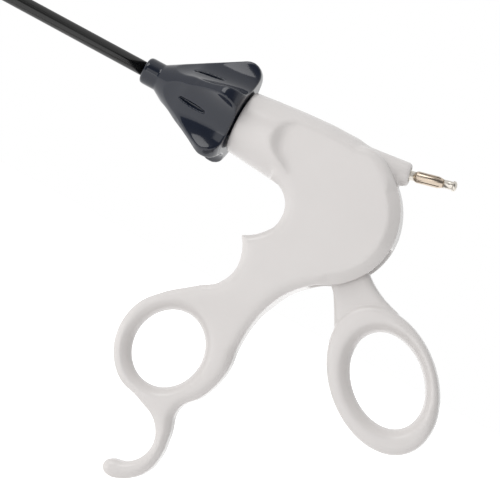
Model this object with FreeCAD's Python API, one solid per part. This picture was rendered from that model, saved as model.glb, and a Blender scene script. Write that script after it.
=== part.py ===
"""Laparoscopic grasper: 5 mm shaft, rotation knob, two-shell grip with finger ring and thumb lever.

Millimetres. X runs along the shaft, and the jaws point towards -X. Z is up, and Y = 0 is the plane
in which the two grip shells meet. The origin is on the shaft's axis at the front of the knob's nose.
"""
import FreeCAD
import Part
import math
import os

V = FreeCAD.Vector

# Shaft
working_length = 330.0
shaft_r = 2.5
insulation_wall = 0.35
tube_wall = 0.6
rod_r = 1.1
running_gap = 0.05
body_gap = 0.3

# Jaws and their clevis
jaw_length = 18.0
jaw_open_angle = 30.0
jaw_pin_r = 0.6
cam_pin_r = 0.45
cam_near = 2.0
tongue_half = 0.4
tail_wall = 0.36
tooth_pitch = 1.0
tooth_depth = 0.35
window_length = 7.0
window_half = 0.6

# Thumb lever
pivot = (78.5, -13.0)
close_angle = 11.0
open_angle = 13.0
pivot_pin_r = 2.0
lever_half = 4.2
lever_hub_r = 7.0
thumb_ring_half = 6.5
thumb_hole = (121.8, -52.3)
thumb_hole_long = 16.4
thumb_hole_short = 11.9
thumb_bar_end = 9.0
thumb_bar_side = 5.7
thumb_tilt = -42.0
ring_flare = 3.0

# Grip
grip_half = 9.5
ring_half = 6.0
housing_r = 23.9
housing_wall = 2.6
edge_round = 2.0
thumb_ring_round = 2.4
neck_front_r = 10.9
neck_front_x = 37.3
barrel_line = ((neck_front_x, neck_front_r), (46.0, 11.85), (56.0, 12.75), (66.0, 13.3), (75.0, 13.2),
               (81.0, 12.4), (85.0, 11.0), (87.0, 9.0))
barrel_rise = 0.6
shoulder_z = 9.0
panel_front_x = 52.9
finger_hole = (52.5, -78.2)
finger_hole_wide = 12.0
finger_hole_high = 13.4
finger_bar = 5.8
hook_centre = (53.8, -109.0)
hook_r = 9.9
hook_bar = 5.0
hook_tip_r = 2.95
index_rest = (55.75, -22.0)
index_r = 9.8
middle_rest = (49.3, -43.0)
middle_r = 11.2
slot_clearance = 0.3
far = 200.0

# Rotation knob and its hub
knob_lobes = 5
nose_r = 4.75
nose_length = 6.3
ridge_start_r = 5.0
ridge_x = 30.3
knob_rear_x = 36.9
hub_r = 6.0
flange_r = 8.2
flange_width = 2.5
flange_x = 44.0
hub_rear_x = 54.0
hub_front_x = 16.0

# High-frequency pin
hf_tilt = 14.0
hf_face_angle = 54.1
hf_face_reach = 5.7
hf_pin_r = 2.0
hf_neck_r = 1.6
hf_neck_length = 1.8
hf_basket_length = 9.3
hf_tip_length = 4.7
hf_slots = 4
hf_slot_width = 0.35
boss_r = 3.9
boss_draft = 7.5
boss_length = 20.0
insert_r = 2.3
insert_length = 12.0

# Details of the grip
rim_width = 4.4
pin_cover = 1.2
slot_front = -78.0
slot_rear = -2.5
corridor_low = -6.5
peg_r = 1.3
peg_reach = 3.0
peg_places = ((67.0, -40.0), (69.0, -60.0), (60.5, -96.0))
finger_tilt = 82.0
lever_round = 1.2

# Details of the fork and the spool
fork_pad_r = 1.9
spool_waist_r = 1.8
spool_r = 4.0
spool_flange = 1.8

# Details of the knob
ridge_line_r = 19.2
nose_round = 1.0
shoulder_round = 5.0
flute_phase = -36.0
flute_line = ((8.5, 6.9), (12.5, 7.7), (16.0, 9.0), (22.0, 10.6), (30.0, 12.0), (38.0, 12.8))
flute_hollow = (30.0, 30.0, 26.0, 17.0, 13.3, 13.0)
slit_front = 15.4
slit_rear = 28.6
slit_half = 0.65
slit_depth = 0.9

# Details of the hub and the seal
collar_x = 40.0
tube_rear_x = 43.0
insulation_rear_x = 6.0
insulation_squeeze = 0.2
seal_pocket_r = 3.2
drag_ring_depth = 0.8
drag_ring_width = 1.0

# Details of the jaws and the rod
tongue_high = 0.9
cam_pin_half = 2.05
jaw_pin_half = 2.15
clevis_r = 2.3
clevis_nose_r = 2.1
ear_inner = 1.3
spigot_length = 6.0
jaw_face_gap = 0.16
jaw_blade_r = 2.3
shoulder_x = 2.45
tail_hub_r = 1.9

# Details of the pin and its contact spring
hf_root = 8.0
contact_rise = 0.7
contact_room = 0.5
hf_core_r = 1.2
hf_tip_r = 1.45
hf_cap_r = 1.8
contact_thick = 0.4
slot_phase = 45.0

# Sizes that follow from the ones above
rod_arm = -pivot[1]
travel_close = rod_arm * math.radians(close_angle)
travel_open = rod_arm * math.radians(open_angle)
jaw_ratio = jaw_open_angle / (close_angle + open_angle)
jaw_rest_angle = jaw_ratio * close_angle
jaw_x = jaw_length - working_length
cam_far = cam_near + travel_close + travel_open
cam_rest = cam_far - travel_close
tail_end = cam_far + cam_pin_r + running_gap + tail_wall
tube_r = shaft_r - insulation_wall
tube_bore_r = tube_r - tube_wall
clevis_base_x = jaw_x + tail_end + body_gap
tube_front_x = clevis_base_x + 1.2
neck_axis_rear_x = hub_rear_x + body_gap
tongue_length = tail_end - cam_near + body_gap
hf_face_turn = math.radians(hf_face_angle)
hf_face = (pivot[0] + (housing_r + hf_face_reach) * math.cos(hf_face_turn),
           pivot[1] + (housing_r + hf_face_reach) * math.sin(hf_face_turn))
contact_back = insert_length + contact_thick
contact_root = (hf_face[0] - contact_back * math.cos(math.radians(hf_tilt)),
                hf_face[1] - contact_back * math.sin(math.radians(hf_tilt)))
corridor_rear_x = contact_root[0] + 3.2
corridor_high = contact_root[1] + contact_rise + contact_room


def cylinder(radius, start, end, z=0.0):
    """Cylinder along X between two stations."""
    return Part.makeCylinder(radius, end - start, V(start, 0, z), V(1, 0, 0))


def cross_cylinder(radius, x, z, near, far):
    """Cylinder along Y between two depths."""
    return Part.makeCylinder(radius, far - near, V(x, near, z), V(0, 1, 0))


def block(x0, x1, y0, y1, z0, z1):
    """Box between two corners."""
    return Part.makeBox(x1 - x0, y1 - y0, z1 - z0, V(x0, y0, z0))


def polar(centre, radius, angle):
    """Point of the XZ plane at an angle from +X towards +Z."""
    turn = math.radians(angle)
    return (centre[0] + radius * math.cos(turn), centre[1] + radius * math.sin(turn))


def ellipse_point(centre, half_x, half_z, angle):
    """Point on an upright ellipse of the XZ plane."""
    turn = math.radians(angle)
    return (centre[0] + half_x * math.cos(turn), centre[1] + half_z * math.sin(turn))


def smooth_edges(points):
    """One curve through points of the XZ plane."""
    curve = Part.BSplineCurve()
    curve.interpolate(Points=[V(x, 0, z) for x, z in points])
    return [curve.toShape()]


def tangent_arc(start, heading, end):
    """Arc that leaves its start along a heading, or a line where the end lies straight ahead."""
    chord = end - start
    side = V(-chord.z, 0, chord.x)
    half_turn = math.atan2(heading.dot(side), heading.dot(chord))
    if abs(half_turn) < 1e-4:
        return Part.makeLine(start, end)
    middle = start + chord * 0.5 + side * (0.5 * math.tan(half_turn / 2))
    return Part.Arc(start, middle, end).toShape()


def headings_through(spots):
    """Unit heading at each point of a smooth path; at its ends, as one arc from the neighbour gives it."""
    inner = []
    for before, here, after in zip(spots, spots[1:], spots[2:]):
        come, go = here - before, after - here
        heading = come * (1 / come.Length ** 2) + go * (1 / go.Length ** 2)
        inner.append(heading.normalize())
    first = (spots[1] - spots[0]).normalize()
    last = (spots[-1] - spots[-2]).normalize()
    start = first * (2 * inner[0].dot(first)) - inner[0]
    end = last * (2 * inner[-1].dot(last)) - inner[-1]
    return [start] + inner + [end]


def smooth_arcs(points):
    """Path through points of the XZ plane: two arcs between neighbours, all running smoothly together."""
    spots = [V(x, 0, z) for x, z in points]
    headings = headings_through(spots)
    edges = []
    for start, end, go, come in zip(spots, spots[1:], headings, headings[1:]):
        chord = end - start
        both = go + come
        bend = 2 * (1 - go.dot(come))
        if bend < 1e-9:
            reach = chord.dot(chord) / (4 * chord.dot(come))
        else:
            reach = (-chord.dot(both) + math.sqrt(chord.dot(both) ** 2 + bend * chord.dot(chord))) / bend
        middle = (start + end + (go - come) * reach) * 0.5
        edges += [tangent_arc(start, go, middle), tangent_arc(end, come * -1, middle)]
    return edges


def slab(edges, near, far):
    """Closed outline of the XZ plane, drawn at Y = 0, made solid between two depths."""
    face = Part.Face(Part.Wire(Part.__sortEdges__(edges)))
    solid = face.extrude(V(0, far - near, 0))
    solid.translate(V(0, near, 0))
    return solid


def polygon_slab(points, near, far):
    """Straight-sided outline made solid between two depths."""
    corners = [V(x, 0, z) for x, z in points]
    return slab(Part.makePolygon(corners + corners[:1]).Edges, near, far)


def ellipse_wire(centre, long_half, short_half, tilt, y):
    """Tilted ellipse of the XZ plane at a depth."""
    turn = math.radians(tilt)
    axis = V(math.cos(turn), 0, math.sin(turn))
    side = V(-math.sin(turn), 0, math.cos(turn))
    middle = V(centre[0], y, centre[1])
    ellipse = Part.Ellipse(middle + axis * long_half, middle + side * short_half, middle)
    return Part.Wire(ellipse.toShape())


def ellipse_stack(centre, long_half, short_half, tilt, sections):
    """Solid of straight bands between ellipses, each at its depth and grown by its own amount."""
    wires = [ellipse_wire(centre, long_half + grow, short_half + grow, tilt, y) for y, grow in sections]
    return Part.makeLoft(wires, True, True)


def flared_hole(centre, long_half, short_half, tilt, half, flare):
    """Cutter for a ring's hole: narrowest in the middle plane, widening ever faster to both faces."""
    sections = []
    for share in (0.2, 0.6, 1.0):
        sections.append((half * share, flare * ((share - 0.2) / 0.8) ** 2))
    beyond = 1.0
    sections.append((half + beyond, flare + 2 * flare * beyond / (0.8 * half)))
    mirrored = [(-y, grow) for y, grow in reversed(sections)]
    return ellipse_stack(centre, long_half, short_half, tilt, mirrored + sections)


def revolved(profile):
    """Solid of revolution about the shaft's axis from (x, radius) corners."""
    corners = [V(x, 0, r) for x, r in profile]
    face = Part.Face(Part.makePolygon(corners + corners[:1]))
    return face.revolve(V(0, 0, 0), V(1, 0, 0), 360)


def export(name, shape):
    """Write one node as a STEP file of clean solids."""
    solids = shape.Solids
    body = solids[0] if len(solids) == 1 else Part.makeCompound(solids)
    body.exportStep(f"parts/{name}.step")
    print(name, len(solids), "solids", round(shape.Volume, 2), shape.isValid())


def grip_outline():
    """Edges of the grip's outline: housing, grip, finger ring and hook, seen from the side."""
    top = [(56.0, shoulder_z), (66.0, shoulder_z + 0.2), (74.0, shoulder_z + 1.6), (82.0, 12.2)]
    rear = [polar(pivot, housing_r + 0.3, 48.0)]
    rear += [polar(pivot, housing_r, angle) for angle in (25, 0, -25, -48)]
    back = [(85.0, -37.0), (79.2, -43.2), (75.6, -50.5), (73.6, -58.5)]
    ring_back_x = finger_hole[0] + finger_hole_wide + 9.2
    back += [(ring_back_x - 0.5, finger_hole[1] + 12.5), (ring_back_x + 0.2, finger_hole[1] + 2.2)]
    back += [(ring_back_x - 2.6, finger_hole[1] - 7.6), (65.6, finger_hole[1] - 16.0)]
    hook_out = [polar(hook_centre, hook_r + hook_bar - 0.4, 20.0)]
    hook_out += [polar(hook_centre, hook_r + hook_bar - 0.6, -5.0)]
    hook_out += [polar(hook_centre, hook_r + hook_bar + 0.3, -35.0)]
    hook_out += [polar(hook_centre, hook_r + hook_bar + 0.8, -65.0)]
    tip_centre = polar(hook_centre, hook_r + hook_tip_r, -84.0)
    tip = [polar(tip_centre, hook_tip_r, angle) for angle in (-84, -129, -174, -219, -258)]
    hook_in = [polar(hook_centre, hook_r, angle) for angle in (-72, -50, -18, 14, 46)]
    ring_front = [ellipse_point(finger_hole, finger_hole_wide + finger_bar,
                                finger_hole_high + finger_bar, angle)
                  for angle in (268, 240, 210, 180, 152, 125)]
    middle = [(50.9, -55.5)] + [polar(middle_rest, middle_r, angle) for angle in (-35, -8, 18)]
    cusp = (56.6, -33.2)
    index = [polar(index_rest, index_r, angle) for angle in (-50, -18, 14, 48)]
    front = (56.0, -12.6)
    loop = top + rear + back + hook_out + tip + hook_in + ring_front + middle + [cusp]
    closing = Part.makeLine(V(front[0], 0, front[1]), V(top[0][0], 0, top[0][1]))
    return smooth_arcs(loop) + smooth_arcs([cusp] + index + [front]) + [closing]


def neck():
    """Round barrel that grows from the neck's front and ends in the housing under the pin's boss."""
    body = revolved([(neck_front_x, 0)] + list(barrel_line) + [(barrel_line[-1][0], 0)])
    body.rotate(V(neck_front_x, 0, 0), V(0, 1, 0), -barrel_rise)
    return body


def hf_turned(profile):
    """Solid turned about the HF pin's axis from (distance, radius) corners."""
    solid = revolved(profile)
    solid.rotate(V(0, 0, 0), V(0, 1, 0), -hf_tilt)
    solid.translate(V(hf_face[0], 0, hf_face[1]))
    return solid


def hf_boss():
    """Drafted boss round the HF pin, with a rounded end."""
    back_r = boss_r + boss_length * math.tan(math.radians(boss_draft))
    return hf_turned([(-boss_length, 0), (-boss_length, back_r), (-0.8, boss_r + 0.1),
                      (-0.25, boss_r - 0.2), (0, boss_r - 0.9), (0, 0)])


def grip_body():
    """Both shells as one solid, before the inside is cut and the halves are parted."""
    body = slab(grip_outline(), -grip_half, grip_half)
    body = body.common(thickness_profile())
    rims = [edge for edge in body.Edges if is_rim(edge)]
    body = body.makeChamfer(edge_round, rims)
    body = body.fuse(neck())
    return body


def thickness_profile():
    """Side thickness of the grip, seen from behind: full at the housing, thinner at the rings."""
    high, step_top, step_low, low = 40.0, -44.0, -68.0, -140.0
    middle = (step_top + step_low) / 2
    edges = [Part.makeLine(V(0, -grip_half, high), V(0, grip_half, high)),
             Part.makeLine(V(0, -ring_half, low), V(0, ring_half, low))]
    for side in (-1, 1):
        wide, thin = side * grip_half, side * ring_half
        blend = Part.BezierCurve()
        blend.setPoles([V(0, wide, step_top), V(0, wide, middle), V(0, thin, middle), V(0, thin, step_low)])
        edges += [Part.makeLine(V(0, wide, high), V(0, wide, step_top)), blend.toShape(),
                  Part.makeLine(V(0, thin, step_low), V(0, thin, low))]
    face = Part.Face(Part.Wire(Part.__sortEdges__(edges)))
    return face.extrude(V(far, 0, 0))


def is_rim(edge):
    """True for an edge on the outline of a side face, which gets rounded."""
    box = edge.BoundBox
    flat = min(abs(box.YMin), abs(box.YMax)) > ring_half - 0.1
    crosses = box.YMin * box.YMax < 0
    across = abs(box.ZMax - box.ZMin) < 0.01 and box.XLength > 15
    front = abs(box.XLength) < 0.01
    return flat and not crosses and not across and not front


def panel_cutter(side):
    """Cutter that lays the neck's flank flush with the grip's side face, behind a soft step."""
    front = [(60.0, 18.0), (56.0, 9.5), (panel_front_x + 0.4, 5.0), (panel_front_x, 1.0),
             (54.4, -3.0), (58.0, -5.6), (62.0, -9.4), (64.6, -13.0), (66.6, -18.0), (68.0, -30.0)]
    centre = (90.0, 0.0)
    wires = []
    for depth, grow in ((grip_half, 1.0), (grip_half + 4.0, 1.1)):
        points = [(centre[0] + (x - centre[0]) * grow, centre[1] + (z - centre[1]) * grow)
                  for x, z in front]
        edges = smooth_edges(points)
        ends = [V(points[-1][0], 0, points[-1][1]), V(120, 0, points[-1][1]),
                V(120, 0, points[0][1]), V(points[0][0], 0, points[0][1])]
        wire = Part.Wire(Part.__sortEdges__(edges + Part.makePolygon(ends).Edges))
        wire.translate(V(0, side * depth, 0))
        wires.append(wire)
    return Part.makeLoft(wires, True, True)


def grip_inside():
    """Everything that is cut out of the grip: mechanism space, bearing bores, slot and pin holes."""
    room_half = grip_half - housing_wall
    room = cross_cylinder(housing_r - rim_width, pivot[0], pivot[1], -room_half, room_half)
    corridor = block(neck_axis_rear_x, corridor_rear_x, -room_half, room_half, corridor_low, corridor_high)
    bearing_r = hub_r + running_gap
    front_bore = cylinder(bearing_r, neck_front_x - 1, neck_axis_rear_x)
    groove = cylinder(flange_r + body_gap, flange_x - body_gap, flange_x + flange_width + body_gap)
    pin_hole_half = grip_half - pin_cover
    pin_hole = cross_cylinder(pivot_pin_r, pivot[0], pivot[1], -pin_hole_half, pin_hole_half)
    insert_hole = hf_turned([(-insert_length, 0), (-insert_length, insert_r), (1, insert_r), (1, 0)])
    return [room, corridor, front_bore, groove, pin_hole, insert_hole, lever_slot()]


def lever_slot():
    """Opening in the housing's rim through which the lever swings."""
    inner = housing_r - rim_width - 4.0
    outer = housing_r + 12.0
    near = [polar(pivot, inner, slot_front), polar(pivot, outer, slot_front)]
    far = [polar(pivot, outer, (slot_front + slot_rear) / 2), polar(pivot, outer, slot_rear),
           polar(pivot, inner, slot_rear)]
    half = lever_half + slot_clearance
    return polygon_slab(near + far, -half, half)


def shell_pegs(grow=0.0):
    """Pegs that locate one shell in the other."""
    pegs = []
    for x, z in peg_places:
        pegs.append(cross_cylinder(peg_r, x, z, -peg_reach - grow, 0.0))
    return pegs


def grip_shells():
    """Left and right grip shells."""
    whole = grip_body()
    hole = flared_hole(finger_hole, finger_hole_high, finger_hole_wide, finger_tilt, ring_half, ring_flare)
    whole = whole.cut(hole)
    whole = whole.cut(panel_cutter(-1)).cut(panel_cutter(1))
    whole = whole.fuse(hf_boss())
    whole = whole.cut(grip_inside())
    left_side = block(0, far, -far, 0, -far, far)
    right_side = block(0, far, 0, far, -far, far)
    left = whole.common(left_side).cut(shell_pegs(body_gap))
    right = whole.common(right_side).fuse(shell_pegs())
    return left, right


def thumb_lever():
    """Lever with its hub, the fork that holds the rod's spool, and the thumb ring."""
    low = [(92.0, -35.0), (98.9, -47.0), (102.0, -53.6), (105.5, -60.5)]
    high = [(114.0, -31.0), (108.7, -29.5), (104.0, -27.3), (100.1, -24.6)]
    on_hub = lever_hub_r - 0.1
    straight = [high[-1], polar(pivot, on_hub, 42.0), polar(pivot, on_hub, 215.0), low[0]]
    edges = smooth_arcs(low) + smooth_arcs(high)
    for one, two in [(low[-1], high[0])] + list(zip(straight, straight[1:])):
        edges.append(Part.makeLine(V(one[0], 0, one[1]), V(two[0], 0, two[1])))
    blade = slab(edges, -lever_half, lever_half)
    rims = [edge for edge in blade.Edges if edge.BoundBox.YLength < 0.01]
    rims = [edge for edge in rims if low[0][0] - 0.1 < edge.BoundBox.XMin < high[2][0]]
    blade = blade.makeChamfer(lever_round, rims)
    hub_half = grip_half - housing_wall - body_gap
    hub = cross_cylinder(lever_hub_r, pivot[0], pivot[1], -hub_half, hub_half)
    lever = blade.multiFuse([hub, thumb_ring()] + fork_prongs())
    bore = cross_cylinder(pivot_pin_r + running_gap, pivot[0], pivot[1], -hub_half - 1, hub_half + 1)
    hole = flared_hole(thumb_hole, thumb_hole_long, thumb_hole_short, thumb_tilt, thumb_ring_half,
                       ring_flare)
    return lever.cut([bore, hole])


def thumb_ring():
    """Thumb ring before its hole is cut: a thick ellipse with rounded rims."""
    centre = (thumb_hole[0] - 1.2, thumb_hole[1] - 0.6)
    sections = []
    for angle in (0, 30, 60, 90):
        turn = math.radians(angle)
        depth = thumb_ring_half - thumb_ring_round * (1 - math.sin(turn))
        sections.append((depth, -thumb_ring_round * (1 - math.cos(turn))))
    mirrored = [(-y, grow) for y, grow in reversed(sections)]
    return ellipse_stack(centre, thumb_hole_long + thumb_bar_end, thumb_hole_short + thumb_bar_side,
                         thumb_tilt, mirrored + sections)


def fork_prongs():
    """Two prongs that straddle the spool's waist, each with a round pad."""
    prongs = []
    for side in (-1, 1):
        near, far = sorted((side * (spool_waist_r + 0.35), side * lever_half))
        pad = cross_cylinder(fork_pad_r, pivot[0], pivot[1] + rod_arm, near, far)
        foot_z = pivot[1] + lever_hub_r - 2.0
        stem = block(pivot[0] - 1.0, pivot[0] + 1.0, near, far, foot_z, pivot[1] + rod_arm)
        root = polygon_slab([(pivot[0] - 4.5, foot_z), (pivot[0] + 4.5, foot_z),
                             (pivot[0] + 1.0, pivot[1] + rod_arm - 4.8),
                             (pivot[0] - 1.0, pivot[1] + rod_arm - 4.8)], near, far)
        prongs += [pad, stem, root]
    return prongs


def rod_end_spool():
    """Grooved spool that the lever's fork holds, free to turn about the rod."""
    x = pivot[0]
    half_gap = fork_pad_r + body_gap
    outer = half_gap + spool_flange
    return revolved([(x - outer, rod_r), (x - outer, spool_r - 0.4), (x - outer + 0.4, spool_r),
                     (x - half_gap, spool_r), (x - half_gap, spool_waist_r),
                     (x + half_gap, spool_waist_r), (x + half_gap, spool_r),
                     (x + outer - 0.4, spool_r), (x + outer, spool_r - 0.4), (x + outer, rod_r)])


def rotation_knob():
    """Fluted knob: a cone with a round shoulder, five flutes and a leaf-shaped slit in each."""
    slope = (ridge_line_r - ridge_start_r) / (ridge_x - nose_length)
    lean = math.atan(slope)
    edge = nose_round
    shoulder_x = knob_rear_x - shoulder_round
    shoulder_r = ridge_start_r + slope * (shoulder_x - nose_length) - shoulder_round / math.cos(lean)
    bands = 7
    shoulder = [polar((shoulder_x, shoulder_r), shoulder_round, (90 + math.degrees(lean)) * step / bands)
                for step in range(bands, -1, -1)]
    body = revolved([(0, 0), (0, nose_r - edge), (edge * 0.3, nose_r - edge * 0.3), (edge, nose_r),
                     (nose_length, nose_r), (nose_length, ridge_start_r)] + shoulder + [(knob_rear_x, 0)])
    for lobe in range(knob_lobes):
        turn = flute_phase + 360.0 * lobe / knob_lobes
        for cutter in (flute_cutter(), slit_cutter()):
            cutter.rotate(V(0, 0, 0), V(1, 0, 0), turn)
            body = body.cut(cutter)
    shaft_hole = cylinder(shaft_r - insulation_squeeze, -1, insulation_rear_x)
    tube_hole = cylinder(tube_r, insulation_rear_x, hub_front_x)
    hub_hole = cylinder(hub_r, hub_front_x, knob_rear_x + 1)
    return body.cut([shaft_hole, tube_hole, hub_hole])


def flute_floor(x):
    """Radius of a flute's lowest line at a station."""
    steps = flute_line
    for (x0, r0), (x1, r1) in zip(steps, steps[1:]):
        if x <= x1:
            return r0 + (r1 - r0) * (x - x0) / (x1 - x0)
    return steps[-1][1]


def flute_cutter():
    """Horn-shaped cutter of one flute, above the shaft: flat at the front and hollow at the rear."""
    sections = []
    for (x, floor), hollow in zip(flute_line, flute_hollow):
        circle = Part.Circle(V(x, 0, floor + hollow), V(1, 0, 0), hollow)
        sections.append(Part.Wire(circle.toShape()))
    return Part.makeLoft(sections, True, False)


def slit_cutter():
    """Leaf-shaped cutter of the slit in a flute's floor, above the shaft."""
    length = slit_rear - slit_front
    low = V(slit_front, 0, 0)
    high = V(slit_rear, 0, 0)
    middle = slit_front + 0.45 * length
    edges = [Part.Arc(low, V(middle, slit_half, 0), high).toShape(),
             Part.Arc(high, V(middle, -slit_half, 0), low).toShape()]
    leaf = Part.Face(Part.Wire(edges)).extrude(V(0, 0, 6))
    rise = flute_floor(slit_rear) - flute_floor(slit_front)
    leaf.rotate(low, V(0, 1, 0), -math.degrees(math.atan2(rise, length)))
    leaf.translate(V(0, 0, flute_floor(slit_front) - slit_depth))
    return leaf


def knob_hub():
    """Flanged sleeve that carries the knob and turns in the neck."""
    groove_x = flange_x + flange_width + 3.0
    pocket_x = collar_x
    return revolved([(hub_front_x, tube_r), (hub_front_x, hub_r), (flange_x, hub_r),
                     (flange_x, flange_r), (flange_x + flange_width, flange_r),
                     (flange_x + flange_width, hub_r), (groove_x, hub_r),
                     (groove_x, hub_r - drag_ring_depth),
                     (groove_x + drag_ring_width, hub_r - drag_ring_depth),
                     (groove_x + drag_ring_width, hub_r), (hub_rear_x, hub_r),
                     (hub_rear_x, seal_pocket_r), (pocket_x, seal_pocket_r), (pocket_x, tube_r)])


def seal_ring(centre_r, minor_r, x):
    """Sealing ring about the shaft's axis, with a six-sided section."""
    corners = [polar((x, centre_r), minor_r, angle) for angle in range(30, 390, 60)]
    return revolved(corners)


def knob_drag_ring():
    """O-ring in the hub's groove that rubs lightly in the neck."""
    minor = drag_ring_depth / 2
    x = flange_x + flange_width + 3.0 + drag_ring_width / 2
    return seal_ring(hub_r - minor, minor, x)


def tube_collar():
    """Collar swaged on the tube's rear end, seated in the hub."""
    body = cylinder(seal_pocket_r, collar_x, tube_rear_x)
    return body.cut(cylinder(tube_r, collar_x - 1, tube_rear_x + 1))


def rod_seal():
    """O-ring round the actuation rod."""
    inner = rod_r + running_gap
    minor = (seal_pocket_r - inner) / 2
    return seal_ring(inner + minor, minor, tube_rear_x + minor)


def seal_retainer():
    """Bush that keeps the seal in the hub."""
    start = tube_rear_x + seal_pocket_r - rod_r - running_gap
    body = cylinder(seal_pocket_r, start, hub_rear_x)
    return body.cut(cylinder(rod_r + running_gap, start - 1, hub_rear_x + 1))


def shaft_tube():
    """Stainless tube of the shaft."""
    return cylinder(tube_r, tube_front_x, tube_rear_x).cut(
        cylinder(tube_bore_r, tube_front_x - 1, tube_rear_x + 1))


def shaft_insulation():
    """Insulating sleeve on the tube, squeezed a little where the knob's nose holds it."""
    held_r = shaft_r - insulation_squeeze
    return revolved([(tube_front_x, tube_r), (tube_front_x, shaft_r), (0, shaft_r), (0, held_r),
                     (insulation_rear_x, held_r), (insulation_rear_x, tube_r)])


def actuation_rod():
    """Pull rod with the flat tongue that carries the cam pin."""
    pin_x = jaw_x + cam_rest
    round_x = jaw_x + cam_rest + tongue_length
    rod = cylinder(rod_r, round_x, pivot[0] + fork_pad_r + body_gap + spool_flange + 0.5)
    tongue = block(pin_x, round_x + 1.0, -tongue_half, tongue_half, -tongue_high, tongue_high)
    end = cross_cylinder(tongue_high, pin_x, 0, -tongue_half, tongue_half)
    hole = cross_cylinder(cam_pin_r, pin_x, 0, -2, 2)
    return rod.fuse([tongue, end]).cut(hole)


def jaw_cam_pin():
    """Cross pin of the rod's tongue, guided in the clevis and working the jaws' cam slots."""
    return cross_cylinder(cam_pin_r, jaw_x + cam_rest, 0, -cam_pin_half, cam_pin_half)


def jaw_pivot_pin():
    """Pin on which both jaws turn."""
    return cross_cylinder(jaw_pin_r, jaw_x, 0, -jaw_pin_half, jaw_pin_half)


def jaw_clevis():
    """Fork at the end of the tube, with guide slots for the cam pin."""
    front = jaw_x - clevis_nose_r
    body = cylinder(clevis_r, front, tube_front_x)
    nose = cross_cylinder(clevis_nose_r, jaw_x, 0, -clevis_r, clevis_r)
    flank = block(jaw_x, tube_front_x, -clevis_r, clevis_r, -clevis_nose_r, clevis_nose_r)
    base = cylinder(clevis_r, clevis_base_x, tube_front_x)
    ears = body.common(nose.fuse(flank)).fuse(base)
    gap = block(front - 1, clevis_base_x, -ear_inner, ear_inner, -4, 4)
    spigot = cylinder(tube_bore_r, tube_front_x, tube_front_x + spigot_length)
    bore = cylinder(rod_r + running_gap, clevis_base_x - 1, tube_front_x + spigot_length + 1)
    slot_r = cam_pin_r + running_gap
    near, far = jaw_x + cam_near, jaw_x + cam_far
    guide = block(near, far, -4, 4, -slot_r, slot_r)
    ends = [cross_cylinder(slot_r, x, 0, -4, 4) for x in (near, far)]
    pin_hole = cross_cylinder(jaw_pin_r, jaw_x, 0, -4, 4)
    return ears.cut(gap).fuse(spigot).cut([bore, guide, pin_hole] + ends)


def cam_point(distance, offset=0.0):
    """Point of the cam slot's centre line, in the closed jaw, from the pin's distance to the pivot.

    The slot is a spiral: each millimetre of rod travel turns the jaw by the same angle.
    """
    turn = math.radians(jaw_open_angle) * (cam_far - distance) / (cam_far - cam_near)
    rate = -math.radians(jaw_open_angle) / (cam_far - cam_near)
    along_x = math.cos(turn) - distance * math.sin(turn) * rate
    along_z = math.sin(turn) + distance * math.cos(turn) * rate
    length = math.hypot(along_x, along_z)
    x = distance * math.cos(turn) - offset * along_z / length
    z = distance * math.sin(turn) + offset * along_x / length
    return (x, z)


def round_cap(one, two):
    """Half circle between two points of the XZ plane, bulging to the left of the way between them."""
    top = ((one[0] + two[0] - two[1] + one[1]) / 2, (one[1] + two[1] + two[0] - one[0]) / 2)
    return Part.Arc(V(one[0], 0, one[1]), V(top[0], 0, top[1]), V(two[0], 0, two[1])).toShape()


def cam_band(half_width, near, far):
    """Band of a given half width along the cam slot's centre line, with round ends."""
    steps = 8
    stations = [cam_near + (cam_far - cam_near) * step / steps for step in range(steps + 1)]
    above = [cam_point(station, half_width) for station in stations]
    below = [cam_point(station, -half_width) for station in stations]
    edges = smooth_edges(above) + smooth_edges(below)
    edges += [round_cap(above[-1], below[-1]), round_cap(below[0], above[0])]
    return slab(edges, near, far)


def jaw(side):
    """Upper jaw (side 1) or lower jaw (side -1), opened to the rest angle.

    It is built closed, as the upper jaw, with the pivot at the origin and its tail on +Y.
    """
    face_z = jaw_face_gap / 2
    blade = revolved([(-jaw_length, 0), (-jaw_length + 0.1, 0.7), (-jaw_length + 0.7, 1.25),
                      (-jaw_length + 4.0, 1.75), (-jaw_length * 0.45, jaw_blade_r),
                      (-shoulder_x, jaw_blade_r), (-shoulder_x, 0)])
    blade = blade.common(block(-jaw_length - 1, 0, -4, 4, face_z, 4))
    window_x = -jaw_length * 0.6
    window = block(window_x - window_length / 2, window_x + window_length / 2,
                   -window_half, window_half, -1, 4)
    blade = blade.cut([window] + tooth_grooves(face_z))
    tail_near, tail_far = tongue_half + running_gap, ear_inner - running_gap
    cheek = block(-shoulder_x - 0.6, 0, tail_near, tail_far, face_z, tail_hub_r)
    hub = cross_cylinder(tail_hub_r, 0, 0, tail_near, tail_far)
    band_half = cam_pin_r + running_gap + tail_wall
    web = polygon_slab([polar((0, 0), tail_hub_r * 0.97, 71.0), cam_point(cam_near + 1.6),
                        cam_point(cam_near + 2.4), (0.5, -tail_hub_r * 0.9)], tail_near, tail_far)
    tail = cam_band(band_half, tail_near, tail_far)
    shape = blade.multiFuse([cheek, hub, web, tail])
    slot = cam_band(cam_pin_r + running_gap, tail_near - 1, tail_far + 1)
    hole = cross_cylinder(jaw_pin_r + running_gap, 0, 0, tail_near - 1, tail_far + 1)
    shape = shape.cut([slot, hole])
    shape.rotate(V(0, 0, 0), V(0, 1, 0), jaw_rest_angle)
    if side < 0:
        shape.rotate(V(0, 0, 0), V(1, 0, 0), 180)
    shape.translate(V(jaw_x, 0, 0))
    return shape


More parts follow.
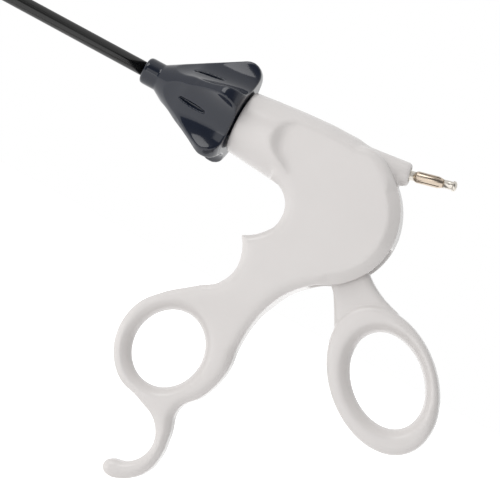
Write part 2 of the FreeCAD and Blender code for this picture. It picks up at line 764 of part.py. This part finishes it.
def tooth_grooves(face_z):
    """Row of V-shaped grooves across a jaw's face."""
    grooves = []
    first = -jaw_length + 2.0
    count = int((jaw_length - shoulder_x - 3.0) / tooth_pitch)
    for index in range(count):
        x = first + index * tooth_pitch
        points = [(x - tooth_pitch * 0.45, face_z - 0.01), (x + tooth_pitch * 0.45, face_z - 0.01),
                  (x, face_z + tooth_depth)]
        grooves.append(polygon_slab(points, -4, 4))
    return grooves


def lever_pivot_pin():
    """Axle of the lever, held in blind holes of both shells."""
    half = grip_half - pin_cover
    return cross_cylinder(pivot_pin_r, pivot[0], pivot[1], -half, half)


def hf_pin_insert():
    """Insert that holds the pin in its boss."""
    return hf_turned([(-insert_length, 0), (-insert_length, insert_r), (0, insert_r), (0, 0)]).cut(
        hf_turned([(-hf_root, 0), (-hf_root, hf_neck_r), (1, hf_neck_r), (1, 0)]))


def hf_pin_core():
    """Turned pin: root, neck, slim core inside the basket and mushroom tip."""
    neck_end = hf_neck_length
    basket_end = neck_end + hf_basket_length
    tip_end = basket_end + hf_tip_length
    return hf_turned([(-hf_root, 0), (-hf_root, hf_neck_r), (neck_end, hf_neck_r),
                      (neck_end, hf_core_r), (basket_end, hf_core_r), (basket_end, hf_tip_r),
                      (tip_end - 1.5, hf_tip_r), (tip_end - 1.3, hf_cap_r),
                      (tip_end - 0.5, hf_cap_r - 0.1), (tip_end, hf_cap_r - 0.9), (tip_end, 0)])


def hf_pin_basket():
    """Slotted spring cage round the core."""
    start = hf_neck_length
    end = start + hf_basket_length
    cage = hf_turned([(start, hf_core_r), (start, hf_pin_r - 0.25), (start + 0.6, hf_pin_r),
                      (end - 1.6, hf_pin_r), (end, hf_tip_r + 0.05), (end, hf_core_r)])
    slots = []
    for index in range(hf_slots // 2):
        slot = block(start + 1.0, end - 1.0, -hf_slot_width / 2, hf_slot_width / 2, -4, 4)
        slot.rotate(V(0, 0, 0), V(1, 0, 0), 360.0 * index / hf_slots + slot_phase)
        slot.rotate(V(0, 0, 0), V(0, 1, 0), -hf_tilt)
        slot.translate(V(hf_face[0], 0, hf_face[1]))
        slots.append(slot)
    return cage.cut(slots)


def hf_contact_spring():
    """Leaf spring that leads the current from the insert to the rod."""
    x, z = contact_root
    lower = [(x, z + contact_rise), (x - 0.6, z - 0.8), (x - 9.8, z - 2.4), (69.6, 3.4),
             (67.4, rod_r + 0.55), (65.8, rod_r + 0.35), (64.4, rod_r + 1.1)]
    upper = [(along, high + contact_thick) for along, high in lower]
    edges = smooth_arcs(lower) + smooth_arcs(upper)
    for one, two in ((lower[0], upper[0]), (lower[-1], upper[-1])):
        edges.append(Part.makeLine(V(one[0], 0, one[1]), V(two[0], 0, two[1])))
    return slab(edges, -1.5, 1.5)


def build():
    """Write every piece."""
    os.makedirs("parts", exist_ok=True)
    left, right = grip_shells()
    pieces = {"handle_shell_left": left, "handle_shell_right": right}
    makers = (thumb_lever, lever_pivot_pin, rotation_knob, knob_hub, knob_drag_ring, tube_collar,
              rod_seal, seal_retainer, shaft_tube, shaft_insulation, actuation_rod, rod_end_spool,
              jaw_cam_pin, jaw_pivot_pin, jaw_clevis, hf_pin_insert, hf_pin_core, hf_pin_basket,
              hf_contact_spring)
    for maker in makers:
        pieces[maker.__name__] = maker()
    pieces["jaw_upper"] = jaw(1)
    pieces["jaw_lower"] = jaw(-1)
    for name, shape in pieces.items():
        export(name, shape)


if __name__ == "__main__":
    build()
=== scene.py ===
"""Laparoscopic grasper, dressed for its studio picture.

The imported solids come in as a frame, in metres: X runs along the shaft with the jaws towards -X, Z is up
and Y runs across the grip. Each solid is welded and gets a finish; moulded ones are rounded as well.
"""
import logging
import math
from dataclasses import dataclass
from enum import Enum

import bpy
from mathutils import Matrix, Vector


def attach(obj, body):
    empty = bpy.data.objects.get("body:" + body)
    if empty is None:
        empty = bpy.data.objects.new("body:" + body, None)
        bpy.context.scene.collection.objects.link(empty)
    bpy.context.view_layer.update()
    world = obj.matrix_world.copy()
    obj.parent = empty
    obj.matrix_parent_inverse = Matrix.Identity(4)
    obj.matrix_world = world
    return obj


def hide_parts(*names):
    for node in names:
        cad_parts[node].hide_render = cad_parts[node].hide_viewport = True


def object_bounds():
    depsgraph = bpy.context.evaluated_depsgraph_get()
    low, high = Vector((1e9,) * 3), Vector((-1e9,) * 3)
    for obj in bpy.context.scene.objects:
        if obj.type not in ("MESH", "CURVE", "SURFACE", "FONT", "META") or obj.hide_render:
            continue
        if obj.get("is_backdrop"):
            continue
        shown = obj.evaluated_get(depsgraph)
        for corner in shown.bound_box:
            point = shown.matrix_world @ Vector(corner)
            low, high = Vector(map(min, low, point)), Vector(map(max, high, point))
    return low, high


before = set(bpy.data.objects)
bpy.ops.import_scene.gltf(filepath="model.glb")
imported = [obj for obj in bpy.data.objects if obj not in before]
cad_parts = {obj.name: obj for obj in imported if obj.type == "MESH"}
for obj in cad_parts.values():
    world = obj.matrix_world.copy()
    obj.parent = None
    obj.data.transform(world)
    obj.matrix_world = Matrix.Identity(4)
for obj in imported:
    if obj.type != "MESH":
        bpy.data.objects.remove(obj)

log = logging.getLogger("grasper")
MM = 0.001
SMOOTH_FACTOR = 0.5
WELD_MM = 0.002


def linear(code: str) -> tuple[float, float, float, float]:
    """Turn an sRGB hex colour into linear RGBA.

    Args:
        code: Colour such as "#D9D6D2".

    Returns:
        Linear red, green, blue and an alpha of 1.
    """
    channels = []
    for start in (1, 3, 5):
        value = int(code[start:start + 2], 16) / 255
        channels.append(value / 12.92 if value <= 0.04045 else ((value + 0.055) / 1.055) ** 2.4)
    return (channels[0], channels[1], channels[2], 1.0)


def per_metre(size_mm: float) -> float:
    """Texture scale at which one pattern cell measures size_mm on Object coordinates in metres."""
    return 1.0 / (size_mm * MM)


def add_node(tree: bpy.types.NodeTree, kind: str, settings: dict | None = None,
             sockets: dict | None = None) -> bpy.types.Node:
    """Add a node with its settings and its inputs.

    Args:
        tree: Node tree that gets the node.
        kind: Node type name.
        settings: Attributes of the node.
        sockets: Input name or index to a constant, or to an output socket that is linked to it.

    Returns:
        The new node.
    """
    node = tree.nodes.new(kind)
    for name, value in (settings or {}).items():
        setattr(node, name, value)
    for key, value in (sockets or {}).items():
        if isinstance(value, bpy.types.NodeSocket):
            tree.links.new(value, node.inputs[key])
        else:
            node.inputs[key].default_value = value
    return node


class Grain(Enum):
    """Direction in which a surface's fine marks run."""

    EVEN = (1.0, 1.0, 1.0)
    ALONG_SHAFT = (0.04, 1.0, 1.0)
    ROUND_SHAFT = (1.0, 0.05, 0.05)


@dataclass(frozen=True)
class Finish:
    """One real material and the way its surface was made."""

    name: str
    slot: str
    colour: str
    shade: str
    roughness: float
    roughness_swing: float
    metallic: float = 0.0
    mottle_mm: float = 14.0
    grain_mm: float = 0.5
    relief_mm: float = 0.004
    grain: Grain = Grain.EVEN
    anisotropic: float = 0.0

    def material(self) -> bpy.types.Material:
        """Make the finish's material, once.

        Returns:
            The material, with colour, gloss and relief from procedural patterns.
        """
        made = bpy.data.materials.get(self.name)
        if made:
            return made
        made = bpy.data.materials.new(self.name)
        made.use_nodes = True
        tree = made.node_tree
        tree.nodes.clear()
        place = add_node(tree, "ShaderNodeTexCoord").outputs["Object"]
        run = add_node(tree, "ShaderNodeMapping", None, {"Vector": place, "Scale": self.grain.value})
        mottle = add_node(tree, "ShaderNodeTexNoise", None,
                          {"Vector": place, "Scale": per_metre(self.mottle_mm), "Detail": 3.0})
        fine = add_node(tree, "ShaderNodeTexNoise", None,
                        {"Vector": run.outputs[0], "Scale": per_metre(self.grain_mm), "Detail": 2.0})
        tint = add_node(tree, "ShaderNodeMix", {"data_type": "RGBA"},
                        {"Factor": mottle.outputs["Fac"], "A": linear(self.colour), "B": linear(self.shade)})
        gloss = add_node(tree, "ShaderNodeMapRange", None,
                         {"Value": fine.outputs["Fac"], "To Min": self.roughness - self.roughness_swing,
                          "To Max": self.roughness + self.roughness_swing})
        relief = add_node(tree, "ShaderNodeBump", None,
                          {"Height": fine.outputs["Fac"], "Strength": 0.3, "Distance": self.relief_mm * MM})
        shader = add_node(tree, "ShaderNodeBsdfPrincipled", None,
                          {"Base Color": tint.outputs["Result"], "Roughness": gloss.outputs["Result"],
                           "Normal": relief.outputs["Normal"], "Metallic": self.metallic,
                           "Anisotropic": self.anisotropic})
        add_node(tree, "ShaderNodeOutputMaterial", None, {"Surface": shader.outputs[0]})
        return made


# Injection-moulded white ABS: warm white, satin gloss from a polished mould, barely uneven
WHITE_ABS = Finish("moulded_white_abs", "white_abs", "#DEDAD8", "#D9D5D3", 0.24, 0.03, relief_mm=0.0015)
# Injection-moulded navy plastic: nearly black, high gloss with a soft sheen in the flutes
NAVY_PLASTIC = Finish("moulded_navy_plastic", "navy_plastic", "#151C2B", "#121825", 0.1, 0.02,
                      relief_mm=0.0008)
# Turned grey acetal: matt, with the lathe's fine rings
GREY_ACETAL = Finish("turned_grey_acetal", "grey_plastic", "#5D6064", "#54575B", 0.45, 0.06,
                     grain_mm=0.25, grain=Grain.ROUND_SHAFT)
# Moulded nitrile rubber: black and dull
NITRILE = Finish("moulded_nitrile", "seal_rubber", "#161616", "#1C1C1C", 0.6, 0.08, grain_mm=0.3)
# Shrunk-on black polyolefin sleeve: glossy, with faint lengthwise drawing marks
SHRINK_SLEEVE = Finish("shrunk_black_sleeve", "black_insulation", "#050505", "#080808", 0.15, 0.02,
                       grain_mm=0.4, grain=Grain.ALONG_SHAFT, relief_mm=0.0005)
# Ground stainless steel: bright, brushed round the part
STAINLESS = Finish("ground_stainless", "stainless", "#C6C6C4", "#BBBBBA", 0.24, 0.07, metallic=1.0,
                   grain_mm=0.12, grain=Grain.ROUND_SHAFT, relief_mm=0.002, anisotropic=0.35)
# Nickel-plated brass: bright and slightly warm
NICKEL_PLATE = Finish("nickel_plated_brass", "nickel_brass", "#CDC8C0", "#C2BCB2", 0.16, 0.04,
                      metallic=1.0, grain_mm=0.2, relief_mm=0.001)
# Rolled spring bronze with a thin nickel flash: pale, warm, brighter along the rolling marks
SPRING_BRONZE = Finish("rolled_spring_bronze", "spring_bronze", "#C4B7A8", "#B3A391", 0.2, 0.05,
                       metallic=1.0, grain_mm=0.2, relief_mm=0.001)


def rays_of(tree: bpy.types.NodeTree, *kinds: str) -> bpy.types.NodeSocket:
    """Tell some kinds of ray from the rest.

    Args:
        tree: Node tree of a world or a material.
        kinds: Outputs of the Light Path node.

    Returns:
        Socket that is 1 for those rays and 0 for others.
    """
    path = add_node(tree, "ShaderNodeLightPath")
    found = path.outputs[kinds[0]]
    for kind in kinds[1:]:
        found = add_node(tree, "ShaderNodeMath", {"operation": "MAXIMUM"},
                         {0: found, 1: path.outputs[kind]}).outputs[0]
    return found


def only(piece: bpy.types.Object) -> None:
    """Deselect everything, then select and activate one object."""
    bpy.ops.object.select_all(action="DESELECT")
    piece.select_set(True)
    bpy.context.view_layer.objects.active = piece


def apply_modifier(piece: bpy.types.Object, kind: str, **settings: object) -> None:
    """Give a piece one modifier and apply it.

    Args:
        piece: Object that is changed.
        kind: Modifier type.
        settings: The modifier's attributes.
    """
    only(piece)
    modifier = piece.modifiers.new(kind.lower(), kind)
    for name, value in settings.items():
        setattr(modifier, name, value)
    bpy.ops.object.modifier_apply(modifier=modifier.name)


def welded_copy(name: str, *nodes: str) -> bpy.types.Object:
    """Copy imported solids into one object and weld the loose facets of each.

    Args:
        name: Name of the copy.
        nodes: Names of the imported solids.

    Returns:
        The welded copy, selected and active.
    """
    copies = []
    for node in nodes:
        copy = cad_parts[node].copy()
        copy.data = copy.data.copy()
        for key in list(copy.keys()):
            del copy[key]
        copy.parent = None
        bpy.context.scene.collection.objects.link(copy)
        copies.append(copy)
    bpy.ops.object.select_all(action="DESELECT")
    for copy in copies:
        copy.select_set(True)
    bpy.context.view_layer.objects.active = copies[0]
    if len(copies) > 1:
        bpy.ops.object.join()
    piece = bpy.context.active_object
    piece.name = name
    only(piece)
    bpy.ops.object.mode_set(mode="EDIT")
    bpy.ops.mesh.select_all(action="SELECT")
    bpy.ops.mesh.remove_doubles(threshold=WELD_MM * MM)
    bpy.ops.object.mode_set(mode="OBJECT")
    return piece


def put_on(piece: bpy.types.Object, body: str, finish: Finish, *nodes: str) -> bpy.types.Object:
    """Give a finished piece its material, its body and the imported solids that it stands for.

    Args:
        piece: The finished piece.
        body: Name of the body that carries it.
        finish: Its material.
        nodes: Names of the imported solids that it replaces.

    Returns:
        The piece.
    """
    piece.data.materials.clear()
    piece.data.materials.append(finish.material())
    if nodes:
        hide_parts(*nodes)
    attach(piece, body)
    log.info("%s: %d faces", piece.name, len(piece.data.polygons))
    return piece


@dataclass(frozen=True)
class Turned:
    """Machined or extruded solid that keeps its own faces, shaded smooth between its edges."""

    crease_deg: float = 35.0

    def dress(self, node: str, body: str, finish: Finish) -> bpy.types.Object:
        """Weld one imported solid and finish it.

        Args:
            node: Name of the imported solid.
            body: Name of the body that carries it.
            finish: Its material.

        Returns:
            The finished piece.
        """
        piece = welded_copy(f"{node}_finished", node)
        bpy.ops.object.shade_smooth_by_angle(angle=math.radians(self.crease_deg))
        return put_on(piece, body, finish, node)


@dataclass(frozen=True)
class Moulded:
    """Moulded solid: meshed evenly, then its edges are rounded as a mould leaves them.

    round_passes rounds all edges a little. crown_passes rounds only across the grip, so the outline that
    is seen from the side stays where it is.
    """

    voxel_mm: float = 0.4
    round_passes: int = 12
    crown_passes: int = 0

    def shape(self, piece: bpy.types.Object) -> None:
        """Mesh a welded piece evenly and round it."""
        apply_modifier(piece, "REMESH", mode="VOXEL", voxel_size=self.voxel_mm * MM, adaptivity=0.0)
        apply_modifier(piece, "SMOOTH", factor=SMOOTH_FACTOR, iterations=self.round_passes)
        if self.crown_passes:
            apply_modifier(piece, "SMOOTH", factor=SMOOTH_FACTOR, iterations=self.crown_passes, use_x=False,
                           use_z=False)
        bpy.ops.object.shade_smooth()

    def dress(self, node: str, body: str, finish: Finish) -> bpy.types.Object:
        """Mesh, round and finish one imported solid.

        Args:
            node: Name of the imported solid.
            body: Name of the body that carries it.
            finish: Its material.

        Returns:
            The finished piece.
        """
        piece = welded_copy(f"{node}_finished", node)
        self.shape(piece)
        return put_on(piece, body, finish, node)


@dataclass(frozen=True)
class RearBand:
    """Wide bevel behind the housing, a little convex, that runs out at both ends. Sizes are in millimetres.

    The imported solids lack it. It steepens from slope towards the rim, by twice bend a millimetre. full_deg
    the angles about the centre between which the band has its full width, and fade_deg is the angle over
    which it runs out.
    """

    centre: tuple[float, float] = (78.5, -13.0)
    rim_r: float = 23.9
    half: float = 9.5
    width: float = 3.7
    slope: float = 0.55
    bend: float = 0.06
    full_deg: tuple[float, float] = (-62.0, 46.0)
    fade_deg: float = 24.0
    soften_passes: int = 3

    def reach(self, x: float, z: float) -> float:
        """Find how far the side may stand out at a place.

        Args:
            x: Place along the shaft in millimetres.
            z: Height in millimetres.

        Returns:
            Greatest distance from the middle plane in millimetres.
        """
        out_x, out_z = x - self.centre[0], z - self.centre[1]
        angle = math.degrees(math.atan2(out_z, out_x))
        past = max(self.full_deg[0] - angle, angle - self.full_deg[1], 0.0)
        width = self.width * max(0.0, 1.0 - past / self.fade_deg)
        across = min(max(width - self.rim_r + math.hypot(out_x, out_z), 0.0), width)
        return self.half - self.slope * across - self.bend * across ** 2 if across else math.inf

    def press(self, piece: bpy.types.Object) -> None:
        """Bring the sides of a finely meshed grip in to the band, and soften its crease."""
        for vertex in piece.data.vertices:
            spot = vertex.co
            limit = self.reach(spot.x / MM, spot.z / MM) * MM
            if abs(spot.y) > limit:
                spot.y = math.copysign(limit, spot.y)
        apply_modifier(piece, "SMOOTH", factor=SMOOTH_FACTOR, iterations=self.soften_passes)


@dataclass
class Grip:
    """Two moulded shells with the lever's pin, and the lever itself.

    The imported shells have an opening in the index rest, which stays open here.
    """

    shells: Moulded = Moulded(voxel_mm=0.4, round_passes=16, crown_passes=70)
    band: RearBand = RearBand()
    lever: Moulded = Moulded(voxel_mm=0.36, round_passes=8, crown_passes=40)
    turned: Turned = Turned()
    crease_deg: float = 50.0
    cutter_side: float = 0.5

    def halves(self) -> None:
        """Round both shells as one moulding, then part them at their joint plane."""
        whole = welded_copy("handle_shell_left_finished", "handle_shell_left", "handle_shell_right")
        self.shells.shape(whole)
        self.band.press(whole)
        other = whole.copy()
        other.data = whole.data.copy()
        other.name = "handle_shell_right_finished"
        bpy.context.scene.collection.objects.link(other)
        for piece, away in ((whole, 1), (other, -1)):
            spot = (0, self.cutter_side / 2 * away, 0)
            bpy.ops.mesh.primitive_cube_add(size=self.cutter_side, location=spot)
            cutter = bpy.context.active_object
            apply_modifier(piece, "BOOLEAN", operation="DIFFERENCE", object=cutter, solver="MANIFOLD")
            bpy.data.objects.remove(cutter, do_unlink=True)
            bpy.ops.object.shade_smooth_by_angle(angle=math.radians(self.crease_deg))
        put_on(whole, "handle", WHITE_ABS, "handle_shell_left")
        put_on(other, "handle", WHITE_ABS, "handle_shell_right")

    def build(self) -> None:
        """Dress the shells, the thumb lever and its pin."""
        self.halves()
        self.lever.dress("thumb_lever", "lever", WHITE_ABS)
        self.turned.dress("lever_pivot_pin", "handle", STAINLESS)


@dataclass
class RotationKnob:
    """Fluted knob with the hub and seals that it carries."""

    moulding: Moulded = Moulded(voxel_mm=0.25, round_passes=24)
    turned: Turned = Turned()

    def build(self) -> None:
        """Dress the knob and what turns with it."""
        self.moulding.dress("rotation_knob", "rotator", NAVY_PLASTIC)
        for node in ("knob_hub", "seal_retainer"):
            self.turned.dress(node, "rotator", GREY_ACETAL)
        for node in ("knob_drag_ring", "rod_seal"):
            self.turned.dress(node, "rotator", NITRILE)


@dataclass
class Shaft:
    """Insulated tube with the pull rod inside."""

    turned: Turned = Turned()

    def build(self) -> None:
        """Dress the sleeve, the tube, its collar, the rod and the rod's spool."""
        self.turned.dress("shaft_insulation", "rotator", SHRINK_SLEEVE)
        for node in ("shaft_tube", "tube_collar"):
            self.turned.dress(node, "rotator", STAINLESS)
        for node in ("actuation_rod", "rod_end_spool"):
            self.turned.dress(node, "rod", STAINLESS)


@dataclass
class JawEnd:
    """Clevis, pins and the two toothed jaws."""

    machined: Turned = Turned(crease_deg=25.0)

    def build(self) -> None:
        """Dress everything at the shaft's far end."""
        for node in ("jaw_clevis", "jaw_pivot_pin"):
            self.machined.dress(node, "rotator", STAINLESS)
        self.machined.dress("jaw_cam_pin", "rod", STAINLESS)
        for side in ("upper", "lower"):
            self.machined.dress(f"jaw_{side}", f"{side}_jaw", STAINLESS)


@dataclass
class HfPin:
    """Plug pin for the high-frequency cable and its contact spring."""

    turned: Turned = Turned()

    def build(self) -> None:
        """Dress the insert, the core, the basket and the contact spring."""
        for node in ("hf_pin_insert", "hf_pin_core"):
            self.turned.dress(node, "handle", NICKEL_PLATE)
        for node in ("hf_pin_basket", "hf_contact_spring"):
            self.turned.dress(node, "handle", SPRING_BRONZE)


@dataclass
class Studio:
    """Camera of the photograph, soft lamps, pale floor and white surroundings. Sizes are in metres.

    fill is the world's light on the object, and fill_lean makes it stronger towards the picture's right, its
    top and the camera. Reflections see white, apart from dark_side, the level round the camera's direction,
    between the two cosines of dark_edge. floor_glow is what the floor adds where it is seen, also in
    reflections, and floor_bounce is what it gives the object.
    """

    azimuth_deg: float = 8.0
    elevation_deg: float = 0.5
    roll_deg: float = 28.68
    frame_width: float = 0.16667
    distance: float = 0.9
    aim: tuple[float, float, float] = (0.0607, 0.0, -0.0363)
    fill: float = 0.5
    fill_lean: tuple[float, float, float] = (-0.25, 0.36, 0.1)
    dark_side: float = 0.2
    dark_edge: tuple[float, float] = (0.2, 0.8)
    floor_r: float = 3.0
    floor_gap_mm: float = 0.5
    floor_glow: float = 0.85
    floor_bounce: float = 0.25
    lamp_distance: float = 0.9
    lamp_side: float = 0.42

    def axes(self) -> tuple[Vector, Vector, Vector]:
        """Directions of the picture.

        Returns:
            Unit vectors to the picture's right, to its top, and towards the camera.
        """
        turn, tilt, roll = (math.radians(a) for a in (self.azimuth_deg, self.elevation_deg, self.roll_deg))
        back = Vector((math.sin(turn) * math.cos(tilt), -math.cos(turn) * math.cos(tilt), math.sin(tilt)))
        level = Vector((math.cos(turn), math.sin(turn), 0.0))
        upright = back.cross(level)
        right = level * math.cos(roll) + upright * math.sin(roll)
        return right, back.cross(right), back

    def camera(self) -> None:
        """Set the camera at the photograph's viewing angle."""
        right, top, back = self.axes()
        data = bpy.data.cameras.new("photo_camera")
        data.sensor_width = 36.0
        data.lens = data.sensor_width * self.distance / self.frame_width
        data.clip_start = 0.01
        data.clip_end = 20.0
        camera = bpy.data.objects.new("photo_camera", data)
        bpy.context.scene.collection.objects.link(camera)
        turned = Matrix((right, top, back)).transposed().to_4x4()
        camera.matrix_world = Matrix.Translation(Vector(self.aim) + back * self.distance) @ turned
        bpy.context.scene.camera = camera

    def lamp(self, name: str, towards: tuple[float, float, float], power: float) -> None:
        """Hang a square soft lamp that faces the object.

        Args:
            name: The lamp's name.
            towards: Amounts of picture right, picture top and camera direction from the object to it.
            power: Power in watts.
        """
        right, top, back = self.axes()
        way = (right * towards[0] + top * towards[1] + back * towards[2]).normalized()
        data = bpy.data.lights.new(name, "AREA")
        data.shape = "SQUARE"
        data.size = self.lamp_side
        data.energy = power
        lamp = bpy.data.objects.new(name, data)
        bpy.context.scene.collection.objects.link(lamp)
        lamp.location = Vector(self.aim) + way * self.lamp_distance
        lamp.rotation_euler = way.to_track_quat("Z", "Y").to_euler()

    def surroundings(self) -> None:
        """Make the world white to look at, darker round the camera in reflections, and soft light."""
        world = bpy.data.worlds.new("white_studio")
        bpy.context.scene.world = world
        world.use_nodes = True
        tree = world.node_tree
        tree.nodes.clear()
        right, top, back = self.axes()
        lean = right * self.fill_lean[0] + top * self.fill_lean[1] + back * self.fill_lean[2]
        way = add_node(tree, "ShaderNodeTexCoord").outputs["Generated"]
        leaning = add_node(tree, "ShaderNodeVectorMath", {"operation": "DOT_PRODUCT"}, {0: way, 1: lean})
        soft = add_node(tree, "ShaderNodeMath", {"operation": "ADD"},
                        {0: leaning.outputs["Value"], 1: self.fill})
        facing = add_node(tree, "ShaderNodeVectorMath", {"operation": "DOT_PRODUCT"}, {0: way, 1: back})
        mirrored = add_node(tree, "ShaderNodeMapRange", {"interpolation_type": "SMOOTHSTEP"},
                            {"Value": facing.outputs["Value"], "From Min": self.dark_edge[0],
                             "From Max": self.dark_edge[1],
                             "To Min": 1.0, "To Max": self.dark_side})
        unseen = add_node(tree, "ShaderNodeMix", {"data_type": "FLOAT"},
                          {"Factor": rays_of(tree, "Is Glossy Ray"), "A": soft.outputs[0],
                           "B": mirrored.outputs["Result"]})
        level = add_node(tree, "ShaderNodeMix", {"data_type": "FLOAT"},
                         {"Factor": rays_of(tree, "Is Camera Ray", "Is Transmission Ray"),
                          "A": unseen.outputs["Result"], "B": 1.0})
        light = add_node(tree, "ShaderNodeBackground", None,
                         {"Color": (1, 1, 1, 1), "Strength": level.outputs["Result"]})
        add_node(tree, "ShaderNodeOutputWorld", None, {"Surface": light.outputs[0]})

    def floor(self) -> None:
        """Lay a pale floor under the object that keeps its shadow."""
        low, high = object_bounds()
        bpy.ops.object.select_all(action="DESELECT")
        spot = ((low.x + high.x) / 2, 0, low.z - self.floor_gap_mm * MM)
        bpy.ops.mesh.primitive_circle_add(vertices=96, radius=self.floor_r, fill_type="NGON", location=spot)
        floor = bpy.context.active_object
        floor.name = "studio_floor"
        bpy.ops.object.transform_apply(location=True, rotation=True, scale=True)
        material = bpy.data.materials.new("pale_floor")
        material.use_nodes = True
        tree = material.node_tree
        tree.nodes.clear()
        paint = add_node(tree, "ShaderNodeBsdfPrincipled", None,
                         {"Base Color": linear("#F2F2F2"), "Roughness": 0.9, "Specular IOR Level": 0.0})
        seen = rays_of(tree, "Is Camera Ray", "Is Transmission Ray", "Is Glossy Ray")
        level = add_node(tree, "ShaderNodeMix", {"data_type": "FLOAT"},
                         {"Factor": seen, "A": self.floor_bounce, "B": self.floor_glow})
        glow = add_node(tree, "ShaderNodeEmission", None,
                        {"Color": (1, 1, 1, 1), "Strength": level.outputs["Result"]})
        both = add_node(tree, "ShaderNodeAddShader", None, {0: paint.outputs[0], 1: glow.outputs[0]})
        add_node(tree, "ShaderNodeOutputMaterial", None, {"Surface": both.outputs[0]})
        floor.data.materials.append(material)
        floor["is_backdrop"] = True

    def build(self) -> None:
        """Set up the camera, the lamps, the world and the floor."""
        self.camera()
        self.lamp("top_softbox", (-0.3, 1.0, 0.45), 1.5)
        self.lamp("front_softbox", (-0.25, 0.3, 0.95), 0.65)
        self.surroundings()
        self.floor()
        bpy.context.scene.view_settings.view_transform = "Standard"


def main() -> None:
    """Build the picture: camera first, then each sub-assembly."""
    logging.basicConfig(level=logging.INFO, format="%(message)s")
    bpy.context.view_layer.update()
    Studio().build()
    for part in (Grip(), RotationKnob(), Shaft(), JawEnd(), HfPin()):
        part.build()
        log.info("%s done", type(part).__name__)


if __name__ == "__main__":
    main()
